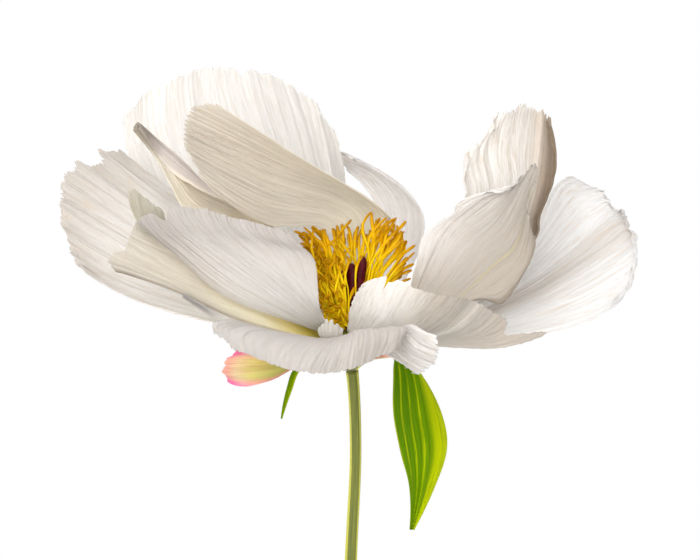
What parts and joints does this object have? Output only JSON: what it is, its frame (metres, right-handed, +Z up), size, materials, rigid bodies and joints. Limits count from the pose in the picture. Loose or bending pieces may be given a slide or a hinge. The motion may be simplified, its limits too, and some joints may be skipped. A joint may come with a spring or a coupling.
{
  "type": "peony in a bud vase",
  "caption": "Open white peony with loose ruffled petals round golden stamens, on a slender stem with one hanging leaf, standing in a plain white bud vase",
  "frame": {"origin": "middle of the vase's flat foot, on the surface it stands on", "axes": "+Z up along the vase; the bloom is seen from -Y, with its hanging leaf to +X of the stem"},
  "size_m": [0.1664, 0.1279, 0.2863],
  "materials": {
    "petal": "soft, slightly translucent",
    "sepal": "soft, pink edge over yellow green",
    "leaf": "satin, veined",
    "stem": "satin",
    "stamen": "powdery",
    "carpel": "velvety",
    "glaze": "glossy",
    "water": "clear"
  },
  "bodies": {
    "root": {"petal_back_tall": "petal", "petal_back_right": "petal", "petal_right_upper": "petal", "petal_right_fan": "petal", "petal_front_right": "petal", "petal_front": "petal", "petal_front_flap": "petal", "petal_front_left": "petal", "petal_left": "petal", "petal_inner_right": "petal", "petal_inner_back": "petal", "petal_inner_back_left": "petal", "petal_inner_left": "petal", "petaloid_lobe": "petal", "sepal_left": "sepal", "sepal_right": "sepal", "sepal_back": "sepal", "bract_narrow": "leaf", "leaf": "leaf", "receptacle": "stem", "carpels": "carpel", "stamens": "stamen", "stem": "stem", "vase": "glaze", "water": "water"}
  },
  "joints": []
}
